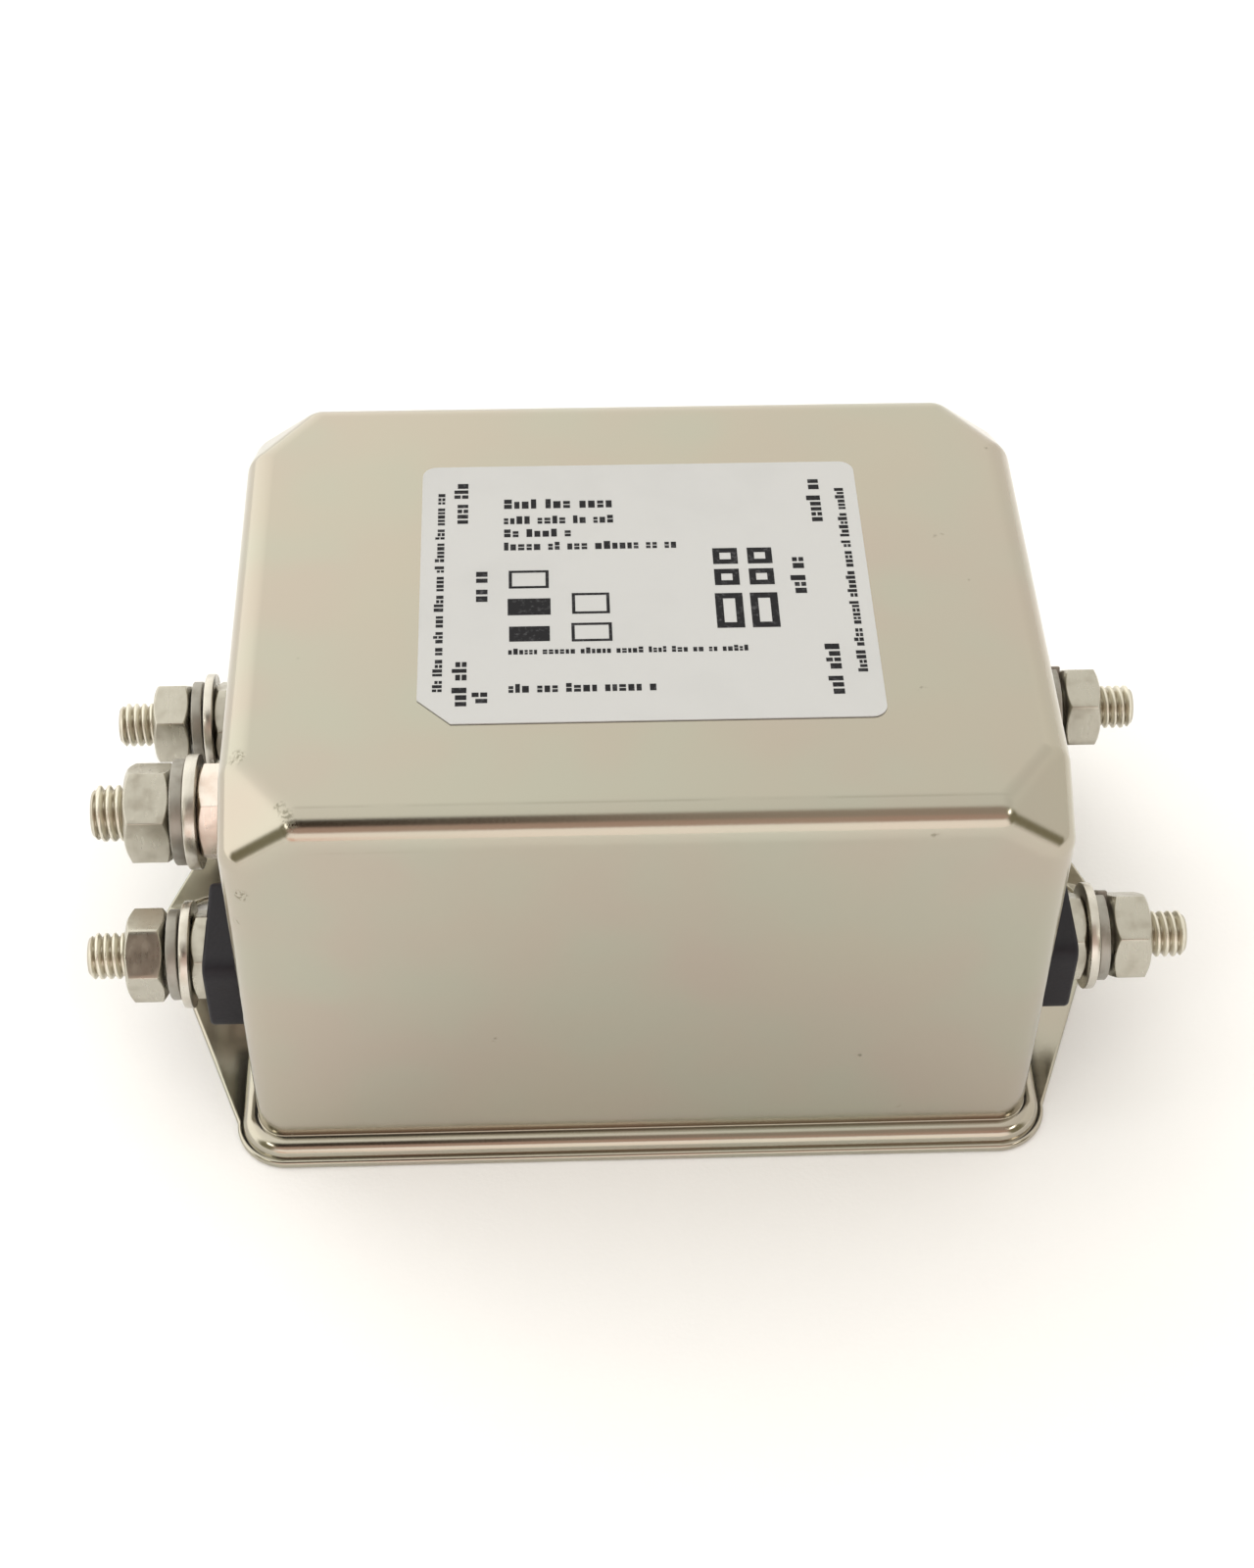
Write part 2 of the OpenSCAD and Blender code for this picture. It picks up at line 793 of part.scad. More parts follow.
// Disc capacitor on edge, with one leg run into its stud's tail and one to the earth stud's
// tail, and as far into that as stated
module y_capacitor_blank(row, into) {
    top_z = ycap_z + ycap_d / 2 - leg_d;
    disc_y = row * ycap_pitch / 2;
    translate([-ycap_x, disc_y, ycap_z])
        rotate([90, 0, 0])
            cylinder(d = ycap_d, h = ycap_t, center = true, $fn = round_fn);
    wire([
        [-ycap_x - leg_step, disc_y, top_z - leg_d],
        [-ycap_x - leg_step - leg_bend, disc_y + row * leg_bend / 2, top_z + leg_d],
        [-tail_mid, row * stud_pitch / 2, stud_z - tail_d / 4]
    ], leg_d);
    wire([
        [-ycap_x + leg_step, disc_y, top_z - leg_d],
        [-ycap_x + leg_step, row * leg_d, earth_z],
        [-earth_tail_end - into, row * leg_d, earth_z]
    ], leg_d);
}

module y_capacitor(row) {
    color([0.20, 0.40, 0.75])
        difference() {
            y_capacitor_blank(row, 0);
            tails(LINE);
        }
}

module bleed_resistor_blank() {
    translate([resistor_x, 0, resistor_z])
        rotate([90, 0, 0])
            cylinder(d = resistor_d, h = resistor_l, center = true, $fn = round_fn);
    for (row = [PHASE, NEUTRAL])
        wire([
            [resistor_x, row * (resistor_l / 2 - leg_d), resistor_z],
            [resistor_x, row * (resistor_l / 2 + leg_bend), resistor_z],
            [tail_mid, row * stud_pitch / 2, stud_z - tail_d / 4]
        ], leg_d);
}

module bleed_resistor() {
    color([0.45, 0.65, 0.80])
        difference() {
            bleed_resistor_blank();
            tails(LOAD);
        }
}

// The compound fills the case, with a pocket for each piece that it was cast round
module potting() {
    color([0.16, 0.14, 0.13])
        difference() {
            drawn_box(inner_r, plate_t);
            choke_ring(
                section_x - section_a - wire_gap,
                section_x + section_a + wire_gap,
                2 * (section_b + wire_gap),
                bend_r
            );
            choke_divider();
            for (side = [LINE, LOAD], row = [PHASE, NEUTRAL])
                mirror([0, row == PHASE ? 0 : 1, 0])
                    lead(side, cut);
            for (t = TERMINALS)
                at_terminal(t) {
                    translate([0, 0, -stud_seat])
                        cylinder(d = bush_d, h = bush_t, $fn = round_fn);
                    translate([0, 0, -stud_seat - head_t])
                        cylinder(d = head_d, h = head_t + cut, $fn = round_fn);
                    translate([0, 0, -stud_seat - head_t - tail_l])
                        cylinder(d = tail_d, h = tail_l + cut, $fn = round_fn);
                }
            at_earth(-sheet_t - earth_head_t)
                cylinder(d = earth_head_d, h = earth_head_t + cut, $fn = round_fn);
            at_earth(-sheet_t - earth_head_t - tail_l)
                cylinder(d = tail_d, h = tail_l + cut, $fn = round_fn);
            for (side = [LINE, LOAD])
                x_capacitor_blank(side);
            for (row = [PHASE, NEUTRAL])
                y_capacitor_blank(row, cut);
            bleed_resistor_blank();
        }
}

case();
base_plate();
label();
insulator([LINE, PHASE]);  // insulator_line_phase
insulator([LINE, NEUTRAL]);  // insulator_line_neutral
insulator([LOAD, PHASE]);  // insulator_load_phase
insulator([LOAD, NEUTRAL]);  // insulator_load_neutral
inner_bushes();
terminal_studs();
thin_nuts();
flat_washers();
spring_washers();
terminal_nuts();
earth_stud();
earth_tooth_washer();
earth_inner_nut();
earth_flat_washer();
earth_spring_washer();
earth_nut();
choke_core();
choke_divider();
choke_winding_phase();
choke_winding_neutral();
x_capacitor(LINE);  // x_capacitor_line
x_capacitor(LOAD);  // x_capacitor_load
y_capacitor(PHASE);  // y_capacitor_phase
y_capacitor(NEUTRAL);  // y_capacitor_neutral
bleed_resistor();
potting();
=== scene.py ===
import math
import random

import bmesh
import bpy
from mathutils import Euler, Matrix, Vector


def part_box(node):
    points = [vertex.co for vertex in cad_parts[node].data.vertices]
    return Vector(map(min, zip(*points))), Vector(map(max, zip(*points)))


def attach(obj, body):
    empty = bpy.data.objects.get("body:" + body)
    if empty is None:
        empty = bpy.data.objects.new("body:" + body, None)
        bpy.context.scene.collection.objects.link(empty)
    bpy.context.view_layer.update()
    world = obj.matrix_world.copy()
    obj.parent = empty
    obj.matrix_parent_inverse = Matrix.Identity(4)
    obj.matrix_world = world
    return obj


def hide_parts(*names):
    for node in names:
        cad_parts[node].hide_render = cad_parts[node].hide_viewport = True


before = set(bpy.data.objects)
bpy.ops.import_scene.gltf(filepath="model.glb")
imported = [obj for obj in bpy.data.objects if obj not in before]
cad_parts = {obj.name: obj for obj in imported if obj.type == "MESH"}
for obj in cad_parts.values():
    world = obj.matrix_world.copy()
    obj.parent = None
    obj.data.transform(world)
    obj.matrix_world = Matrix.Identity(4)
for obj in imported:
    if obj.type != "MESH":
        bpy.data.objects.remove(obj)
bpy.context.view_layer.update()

MM = 0.001
stage = bpy.context.scene


# ---------------------------------------------------------------- camera
# A hand-held view from above the front of the filter, a little to the line side of its middle.

camera = bpy.data.objects.new("camera", bpy.data.cameras.new("camera"))
camera.location = Vector((-7.5, -152.9, 182.0)) * MM
camera.rotation_euler = Euler([math.radians(angle) for angle in (42.98, -0.52, -2.0)])
camera.data.lens = 59.83
camera.data.sensor_width = 36.0
camera.data.clip_start = 0.01
camera.data.dof.use_dof = False
stage.collection.objects.link(camera)
stage.camera = camera
stage.view_settings.view_transform = "Standard"
stage.view_settings.look = "None"


# ---------------------------------------------------------------- floor and light
# A pale matt table top under a bright ceiling and two wide lamps. On the camera's side the
# polished bends mirror a dim room, a low bright window with a warm patch and two ceiling lamps.

class Flow:
    """A value in a node tree. Sums on it add Math nodes, and add() adds any other node."""

    def __init__(self, tree, socket=None):
        self.tree = tree
        self.socket = socket

    def add(self, kind, settings=None, inputs=None, out=0):
        """Adds a node of this type: its settings first, then its sockets' values or links."""
        node = self.tree.nodes.new(kind)
        for name, value in (settings or {}).items():
            setattr(node, name, value)
        for name, value in (inputs or {}).items():
            if isinstance(value, Flow):
                self.tree.links.new(value.socket, node.inputs[name])
            elif isinstance(value, list):
                for each in value:
                    self.tree.links.new(each.socket, node.inputs[name])
            else:
                node.inputs[name].default_value = value
        return Flow(self.tree, node.outputs[out] if node.outputs else None)

    def math(self, operation, *values):
        """One Math node on this value and the others."""
        operands = {i: value for i, value in enumerate((self, *values))}
        return self.add("ShaderNodeMath", {"operation": operation}, operands)

    def __add__(self, other):
        return self.math("ADD", other)

    __radd__ = __add__

    def __mul__(self, other):
        return self.math("MULTIPLY", other)

    __rmul__ = __mul__

    def __sub__(self, other):
        return self.math("SUBTRACT", other)

    def __rsub__(self, other):
        return (self * -1.0) + other

    def __truediv__(self, other):
        return self.math("DIVIDE", other)

    def above(self, low, high):
        """0 below low and 1 above high, with a smooth rise between them."""
        ends = {"Value": self, "From Min": low, "From Max": high}
        return self.add("ShaderNodeMapRange", {"interpolation_type": "SMOOTHSTEP"}, ends)

    def blend(self, first, second):
        """The first colour where this value is 0 and the second where it is 1."""
        return self.add("ShaderNodeMix", {"data_type": "RGBA"}, {0: self, 6: first, 7: second}, 2)

    def parts(self):
        """The X, Y and Z of a vector."""
        return [self.add("ShaderNodeSeparateXYZ", None, {0: self}, axis) for axis in range(3)]

    def spots(self, size, detail=2.0, stretch=(1, 1, 1), shift=(0, 0, 0)):
        """Noise on this place, with features of about this size in millimetres."""
        place = self.add("ShaderNodeMapping", None, {"Vector": self, "Scale": stretch,
                                                     "Location": shift})
        return self.add("ShaderNodeTexNoise", None,
                        {"Vector": place, "Scale": 1 / (size * MM), "Detail": detail})


def start_material(name):
    """A new empty material, and the place on the piece that its pattern reads."""
    material = bpy.data.materials.new(name)
    material.use_nodes = True
    material.node_tree.nodes.clear()
    flow = Flow(material.node_tree)
    return material, flow.add("ShaderNodeTexCoord", None, None, "Object")


def end_material(place, shader, relief=None, depth=0.0):
    """Closes a material with its shader's sockets and a relief as deep as stated, in mm."""
    if relief is not None:
        shader["Normal"] = place.add("ShaderNodeBump", None, {"Height": relief,
                                                              "Distance": depth * MM})
    surface = place.add("ShaderNodeBsdfPrincipled", None, shader)
    place.add("ShaderNodeOutputMaterial", None, {"Surface": surface})


def shown(name, mesh):
    """Puts a mesh in the scene as a piece of its own."""
    piece = bpy.data.objects.new(name, mesh)
    stage.collection.objects.link(piece)
    return piece


floor_material, place = start_material("matt_table")
weave = place.spots(0.4, 3.0)
end_material(place, {
    "Base Color": place.spots(90.0).blend((0.925, 0.93, 0.94, 1), (0.945, 0.95, 0.96, 1)),
    "Roughness": 0.85,
}, weave, 0.02)
floor_mesh = bpy.data.meshes.new("table_top")
floor_half = 1.5
square = ((-1, -1), (1, -1), (1, 1), (-1, 1))
floor_mesh.from_pydata([(sx * floor_half, sy * floor_half, 0) for sx, sy in square],
                       [], [(0, 1, 2, 3)])
floor_mesh.materials.append(floor_material)
floor = shown("table_top", floor_mesh)

world = bpy.data.worlds.new("studio")
world.use_nodes = True
world.node_tree.nodes.clear()
sky = Flow(world.node_tree).add("ShaderNodeTexCoord", None, None, "Generated")
east, north, up = sky.parts()
near = north * -1.0
aside = east.math("ABSOLUTE")
room = near.above(0.18, 0.40) * up.above(-0.02, 0.10) * (1 - aside.above(0.86, 1.0) * 0.8)
lamps = (aside.above(0.50, 0.53) * (1 - aside.above(0.62, 0.65)) * up.above(0.58, 0.61)
         * (1 - up.above(0.69, 0.72)) * room)
window = near.above(0.74, 0.88) * (1 - up.above(0.40, 0.48))
curtain = near.above(0.60, 0.76) * up.above(0.40, 0.48) * (1 - up.above(0.70, 0.79))
person = near.above(0.80, 0.95) * (1 - up.above(0.10, 0.22)) * (1 - east.above(-0.13, -0.05))
ceiling = (east * 0.5 + 0.5).blend((1.88, 1.84, 1.74, 1), (1.11, 1.07, 0.98, 1))
shade = up.above(0.60, 0.80) * 0.14 + east.above(-0.20, 0.12) * 0.09
ceiling = shade.blend(ceiling, (0, 0, 0, 1))
walls = east.above(-0.06, 0.07).blend((0.036, 0.022, 0.012, 1), (0.56, 0.45, 0.38, 1))
walls = aside.above(0.30, 0.60).blend(walls, (0.32, 0.29, 0.185, 1))
light = room.blend(ceiling, walls)
for spread, colour in ((lamps, (6.2, 6.0, 5.6, 1)), (curtain, (0.72, 0.50, 0.42, 1)),
                       (window, (1.68, 1.54, 1.46, 1)), (person, (1.38, 0.92, 0.76, 1))):
    light = spread.blend(light, colour)
glow = sky.add("ShaderNodeBackground", None, {"Color": light, "Strength": 1.0})
sky.add("ShaderNodeOutputWorld", None, {"Surface": glow})
stage.world = world


def soft_light(name, place, target, size, power, colour):
    """A square softbox of this size in metres, turned to a target and not mirrored in metal."""
    lamp = bpy.data.objects.new(name, bpy.data.lights.new(name, "AREA"))
    lamp.data.size = size
    lamp.data.energy = power
    lamp.data.color = colour
    lamp.location = place
    lamp.rotation_euler = (Vector(target) - Vector(place)).to_track_quat("-Z", "Y").to_euler()
    lamp.visible_glossy = False
    stage.collection.objects.link(lamp)


soft_light("key", (-0.60, 0.85, 0.60), (0, 0, 0), 1.0, 3.0, (1.0, 0.99, 0.97))
soft_light("fill", (-0.05, -0.60, 0.62), (0, 0, 0), 1.0, 2.4, (0.97, 1.0, 0.99))


# ---------------------------------------------------------------- case
# The can is drawn from one sheet of plated steel: a box with cut top corners, rounded edges
# and a flared rim that sits on the base plate. Here it is one closed mesh: outside, rim, inside.

rim_low, rim_high = (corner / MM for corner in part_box("case"))
rim_lip = 1.4
case_half = Vector((rim_high.x - rim_lip, rim_high.y - rim_lip))
case_top = rim_high.z
plate_t = rim_low.z
sheet_t = 0.7
edge_r = 2.5
bevel_legs = Vector((7.0, 9.0, 5.0))
flare_r = 0.08
rim_h = 1.3
flare_top = plate_t + rim_h + flare_r
corner_steps = 14


def skin(core, radius):
    """The faces of a core pushed out by a radius, with strips and balls to round its edges."""
    corners, faces = core
    mesh = bmesh.new()

    def patch(*points):
        mesh.faces.new([mesh.verts.new(point) for point in points])

    normals = [(corners[f[1]] - corners[f[0]]).cross(corners[f[2]] - corners[f[1]]).normalized()
               for f in faces]
    for face, normal in zip(faces, normals):
        patch(*(corners[i] + radius * normal for i in face))
    edges = {}
    for number, face in enumerate(faces):
        for a, b in zip(face, face[1:] + face[:1]):
            edges[a, b] = number
    turns = [step / corner_steps for step in range(corner_steps + 1)]
    for (a, b), left in edges.items():
        right = edges.get((b, a))
        if right is None or a > b:
            continue
        arc = [normals[left].slerp(normals[right], t) * radius for t in turns]
        for low, high in zip(arc, arc[1:]):
            patch(corners[a] + low, corners[a] + high, corners[b] + high, corners[b] + low)
    for index, corner in enumerate(corners):
        around = [n for n, face in enumerate(faces) if index in face]
        if len(around) < 3:
            continue
        first, second, third = (normals[n] for n in around)

        def ball(row, column):
            if row == 0:
                return corner + radius * first
            along = row / corner_steps
            ends = first.slerp(second, along), first.slerp(third, along)
            return corner + radius * ends[0].slerp(ends[1], column / row)

        for row in range(corner_steps):
            for column in range(row + 1):
                patch(ball(row, column), ball(row + 1, column), ball(row + 1, column + 1))
                if column < row:
                    patch(ball(row, column), ball(row + 1, column + 1), ball(row, column + 1))
    return mesh


def case_core():
    """The body that the case's edges are rounded about, as corners and faces, without a foot."""
    x, y = case_half.x - edge_r, case_half.y - edge_r
    slope = Vector([1 / leg for leg in bevel_legs])
    reach = [leg * (1 + edge_r * (slope.length - sum(slope) + 1 / leg)) for leg in bevel_legs]
    top = case_top - edge_r
    corners = []
    for sx, sy in square:
        corners += [
            Vector((sx * x, sy * y, flare_top)),
            Vector((sx * x, sy * y, case_top - reach[2])),
            Vector((sx * (case_half.x - reach[0]), sy * y, top)),
            Vector((sx * x, sy * (case_half.y - reach[1]), top)),
        ]
    faces = []
    for side in range(4):
        here, there = 4 * side, 4 * ((side + 1) % 4)
        upper = 3 if side % 2 else 2
        faces.append([here, there, there + 1, there + upper, here + upper, here + 1])
        bevel = [here + 1, here + 2, here + 3]
        faces.append(bevel[::-1] if side % 2 else bevel)
    lid = []
    for side in range(4):
        pair = [4 * side + 3, 4 * side + 2]
        lid += pair if side % 2 == 0 else pair[::-1]
    faces.append(lid)
    return corners, faces


def rim_section():
    """Radius and height along the rim, from the outer wall over the flange to the inner wall."""
    centre = edge_r + flare_r
    inner_r = flare_r + sheet_t
    quarter = [math.pi / 2 * step / 12 for step in range(13)]
    section = [(centre - flare_r * math.cos(a), flare_top - flare_r * math.sin(a)) for a in quarter]
    section += [(edge_r + rim_lip - rim_h * (1 - math.sin(a)), plate_t + rim_h * math.cos(a))
                for a in quarter]
    section.append((centre, plate_t))
    section += [(centre - inner_r * math.sin(a), flare_top - inner_r * math.cos(a))
                for a in quarter]
    return section


def round_case(radius, height):
    """One ring about the case's upright edges, as far out from their axes as the radius."""
    x, y = case_half.x - edge_r, case_half.y - edge_r
    ring = []
    for quarter, (sx, sy) in enumerate(((1, 1), (-1, 1), (-1, -1), (1, -1))):
        for step in range(corner_steps + 1):
            a = math.pi / 2 * (quarter + step / corner_steps)
            ring.append(Vector((sx * x + radius * math.cos(a),
                                sy * y + radius * math.sin(a), height)))
    return ring


def merged(parts, name, gap=2e-4):
    """Joins bmesh parts in millimetres into one closed mesh in metres with outward faces."""
    whole = bmesh.new()
    for part in parts:
        scratch = bpy.data.meshes.new("scratch")
        part.to_mesh(scratch)
        whole.from_mesh(scratch)
        bpy.data.meshes.remove(scratch)
        part.free()
    bmesh.ops.remove_doubles(whole, verts=whole.verts, dist=gap)
    bmesh.ops.recalc_face_normals(whole, faces=whole.faces)
    whole.transform(Matrix.Scale(MM, 4))
    mesh = bpy.data.meshes.new(name)
    whole.to_mesh(mesh)
    whole.free()
    return mesh


def ring_strip(rings, closed=False):
    """Faces between rings of equally many points, and from the last to the first if closed."""
    strip = bmesh.new()
    rows = [[strip.verts.new(p) for p in ring] for ring in rings]
    pairs = list(zip(rows, rows[1:])) + ([(rows[-1], rows[0])] if closed else [])
    for low, high in pairs:
        for i in range(len(low)):
            k = (i + 1) % len(low)
            strip.faces.new((low[i], low[k], high[k], high[i]))
    return strip


def settled(piece, *modifiers):
    """Applies modifiers, each as its type and settings, and keeps the result as a plain mesh."""
    for kind, settings in modifiers:
        modifier = piece.modifiers.new(kind.lower(), kind)
        for name, value in settings.items():
            setattr(modifier, name, value)
    graph = bpy.context.evaluated_depsgraph_get()
    mesh = bpy.data.meshes.new_from_object(piece.evaluated_get(graph), depsgraph=graph)
    piece.modifiers.clear()
    old, piece.data = piece.data, mesh
    bpy.data.meshes.remove(old)
    mesh.name = piece.name


def outward(side, y, z, height=0.0):
    """Turns a mesh whose +Z points out of a side wall to its place, height off the wall."""
    turn = Matrix.Rotation(side * math.pi / 2, 4, "Y")
    return Matrix.Translation(Vector((side * (case_half.x + height), y, z)) * MM) @ turn


def plated_steel(name, bare, warm, cool, wear=None):
    """Bright plated sheet: faint warm and cool clouds, fine grain, and dull marks of wear."""
    material, place = start_material(name)
    cloud = place.spots(16.0, 1.0).above(0.25, 0.75)
    haze = place.spots(9.0, 1.0, shift=(0.3, 0.1, 0.2)).above(0.30, 0.80)
    tint = haze.blend(cloud.blend(bare, warm), cool)
    scuff = place.spots(2.2, 5.0, shift=(0.7, 0.2, 0.5)).above(0.74, 0.80)
    if wear:
        scuff = scuff.math("MAXIMUM", wear(place))
    tint = (scuff * 0.6).blend(tint, (0.17, 0.16, 0.11, 1))
    grain = place.spots(0.25, 2.0)
    end_material(place, {
        "Base Color": tint,
        "Metallic": 1.0,
        "Roughness": 0.12 + grain * 0.05 + haze * 0.05 + scuff * 0.2,
    }, grain * 0.2 + place.spots(7.0, 1.0), 0.010)
    return material


def case_wear(place):
    """Scuffs where the case was handled, and the faint die lines beside the front bend."""
    x, y, z = place.parts()
    ragged = place.spots(0.25, 2.0).above(0.42, 0.64)
    wear = None
    for spot, radius in case_marks:
        gap = place.add("ShaderNodeVectorMath", {"operation": "DISTANCE"},
                        {0: place, 1: tuple(part * MM for part in spot)}, 1)
        mark = (1 - gap.above(radius * 0.5 * MM, radius * MM)) * ragged
        wear = wear.math("MAXIMUM", mark) if wear else mark
    behind = (y + (case_half.y - edge_r + 0.3) * MM).math("ABSOLUTE")
    below = (z - (case_top - edge_r - 0.2) * MM).math("ABSOLUTE")
    on_top = z.above((case_top - 0.2) * MM, case_top * MM)
    on_front = (0 - y).above((case_half.y - 0.2) * MM, case_half.y * MM)
    core, edge = 0.04 * MM, 0.16 * MM
    top_line = (1 - behind.above(core, edge)) * on_top
    front_line = (1 - below.above(core, edge)) * on_front
    lines = top_line + front_line * (1 - x.above(-22 * MM, -14 * MM))
    lines = lines * place.spots(9.0, 2.0).above(0.35, 0.60)
    return wear.math("MAXIMUM", lines * 0.3)


case_marks = [((-30.8, -17.3, 40.1), 0.9), ((-27.3, -22.4, 40.1), 0.6), ((-26.8, -23.2, 40.0), 0.7),
              ((-26.3, -24.0, 39.8), 0.6), ((-30.7, -24.8, 32.9), 0.8), ((-31.7, -24.7, 29.5), 0.7)]
steel_tones = (0.438, 0.408, 0.334, 1), (0.442, 0.392, 0.330, 1), (0.424, 0.416, 0.343, 1)
case_plate = plated_steel("case_plate", *steel_tones, case_wear)
outer = skin(case_core(), edge_r)
inner = skin(case_core(), edge_r - sheet_t)
rim = ring_strip([round_case(*point) for point in rim_section()])
case = shown("drawn_case", merged([outer, rim, inner], "drawn_case"))
case.data.materials.append(case_plate)

terminals = []
for node in ("insulator_line_phase", "insulator_line_neutral",
             "insulator_load_phase", "insulator_load_neutral"):
    middle = sum(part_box(node), Vector()) / 2 / MM
    terminals.append((math.copysign(1, middle.x), middle.y, middle.z))
earth = (-1, 0.0, sum(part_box("earth_stud"), Vector()).z / 2 / MM)
neck_r, stud_r, earth_stud_r = 3.8, 2.0, 2.5
fit = 0.1
drills = bmesh.new()
for wall_place, radius in [(t, neck_r + fit) for t in terminals] + [(earth, earth_stud_r + fit)]:
    bmesh.ops.create_cone(drills, cap_ends=True, segments=48, radius1=radius * MM,
                          radius2=radius * MM, depth=4 * sheet_t * MM,
                          matrix=outward(*wall_place, -sheet_t / 2))
drill_mesh = bpy.data.meshes.new("drills")
drills.to_mesh(drill_mesh)
drills.free()
drill = shown("drills", drill_mesh)
settled(case, ("BOOLEAN", {"object": drill, "operation": "DIFFERENCE", "solver": "EXACT"}))
bpy.data.objects.remove(drill)
case.data.shade_smooth()
case.data.set_sharp_from_angle(angle=math.radians(40))
settled(case, ("WEIGHTED_NORMAL", {"keep_sharp": True, "mode": "FACE_AREA"}))
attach(case, "root")
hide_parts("case")


# ---------------------------------------------------------------- base plate
# A blanked steel plate closes the can. Its two ears carry the slots for the mounting screws,
# and its edges are slightly rolled over by the blanking die.

base_plate_steel = plated_steel("base_plate_steel", *steel_tones)

plate_low, plate_high = (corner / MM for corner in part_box("base_plate"))
plate_edge = 0.5
plate_half = Vector((case_half.x + rim_lip + plate_edge, plate_high.y))
plate_r = edge_r + rim_lip + plate_edge
ear_r = 5.0
slot_x = plate_high.x - ear_r
slot_w, slot_l = 5.3, 6.3
die_roll = 0.3


def arc(x, y, radius, start, stop, steps=16):
    """Points on an arc, from one angle to another in degrees."""
    angles = [math.radians(start + (stop - start) * step / steps) for step in range(steps + 1)]
    return [(x + radius * math.cos(a), y + radius * math.sin(a)) for a in angles]


def plate_outline():
    """The plate with its two ears, anticlockwise from the right one."""
    reach = Vector((slot_x - plate_half.x, -(plate_half.y - plate_r)))
    lean = math.degrees(math.atan2(reach.y, reach.x) + math.asin(ear_r / reach.length)) + 90
    points = []
    for turn in (0, 180):
        sign = 1 if turn == 0 else -1
        x, y = sign * (plate_half.x - plate_r), sign * (plate_half.y - plate_r)
        points += arc(sign * slot_x, 0, ear_r, turn - lean, turn + lean)
        points += arc(x, y, plate_r, turn, turn + 90)
        points += arc(-x, y, plate_r, turn + 90, turn + 180)
    return points


def slot_outline(x):
    """A mounting slot, a little longer along X than it is wide."""
    straight = (slot_l - slot_w) / 2
    return arc(x + straight, 0, slot_w / 2, 90, -90) + arc(x - straight, 0, slot_w / 2, 270, 90)


def flat_sheet(name, outlines, low, high, round_over, material):
    """A flat sheet cut to closed outlines, the first its edge and the rest its holes."""
    curve = bpy.data.curves.new(name, "CURVE")
    curve.dimensions = "2D"
    curve.fill_mode = "BOTH"
    curve.extrude = ((high - low) / 2 - round_over) * MM
    curve.bevel_depth = round_over * MM
    curve.bevel_resolution = 2
    curve.offset = -round_over * MM
    for outline in outlines:
        spline = curve.splines.new("POLY")
        spline.points.add(len(outline) - 1)
        for point, (x, y) in zip(spline.points, outline):
            point.co = (x * MM, y * MM, 0, 1)
        spline.use_cyclic_u = True
    blank = shown(name, curve)
    mesh = bpy.data.meshes.new_from_object(
        blank.evaluated_get(bpy.context.evaluated_depsgraph_get()))
    bpy.data.objects.remove(blank)
    edges = bmesh.new()
    edges.from_mesh(mesh)
    bmesh.ops.remove_doubles(edges, verts=edges.verts, dist=1e-7)
    bmesh.ops.recalc_face_normals(edges, faces=edges.faces)
    edges.transform(Matrix.Translation((0, 0, (low + high) / 2 * MM)))
    edges.to_mesh(mesh)
    edges.free()
    mesh.materials.clear()
    mesh.materials.append(material)
    mesh.shade_smooth()
    mesh.set_sharp_from_angle(angle=math.radians(35))
    sheet = shown(name, mesh)
    settled(sheet, ("WEIGHTED_NORMAL", {"keep_sharp": True}))
    return sheet


base = flat_sheet("base_plate_sheet",
                  [plate_outline(), slot_outline(slot_x), slot_outline(-slot_x)],
                  plate_low.z, plate_high.z, die_roll, base_plate_steel)
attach(base, "root")
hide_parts("base_plate")


# ---------------------------------------------------------------- label
# A white satin polyester label, die-cut with one clipped corner, on the middle of the top.

label_low, label_high = (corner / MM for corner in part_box("label"))
label_r = 1.2
label_clip = 2.6


def label_outline():
    """The label with three rounded corners and a clipped one."""
    x0, y0, x1, y1 = label_low.x, label_low.y, label_high.x, label_high.y
    return (arc(x1 - label_r, y1 - label_r, label_r, 0, 90, 8)
            + arc(x0 + label_r, y1 - label_r, label_r, 90, 180, 8)
            + [(x0, y0 + label_clip), (x0 + label_clip, y0)]
            + arc(x1 - label_r, y0 + label_r, label_r, 270, 360, 8))


film, place = start_material("label_film")
smudge = place.spots(9.0, 4.0).above(0.45, 0.75)
fibre = place.spots(0.5, 3.0)
end_material(place, {
    "Base Color": (smudge * 0.5).blend((0.478, 0.484, 0.485, 1), (0.436, 0.442, 0.443, 1)),
    "Roughness": 0.42 + fibre * 0.1,
}, fibre + place.spots(6.0) * 2.0, 0.01)
label = flat_sheet("label_film", [label_outline()], label_low.z, label_high.z, 0.03, film)
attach(label, "root")
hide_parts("label")


# ---------------------------------------------------------------- print on the label
# Black resin ribbon print, thermally transferred: columns of small print along both ends,
# a few lines in the middle and plain blocks. Every stroke is a thin block of ink.

ink, place = start_material("ribbon_ink")
end_material(place, {
    "Base Color": place.spots(0.35, 3.0).above(0.5, 0.8).blend((0.010, 0.010, 0.012, 1),
                                                              (0.06, 0.06, 0.065, 1)),
    "Roughness": 0.6,
    "Specular IOR Level": 0.15,
})
ink_t = 0.012
draw = random.Random(7)
strokes = []


def stroke(x, y, width, height):
    """One block of ink about a point on the label."""
    strokes.append(((x, y), (width, height)))


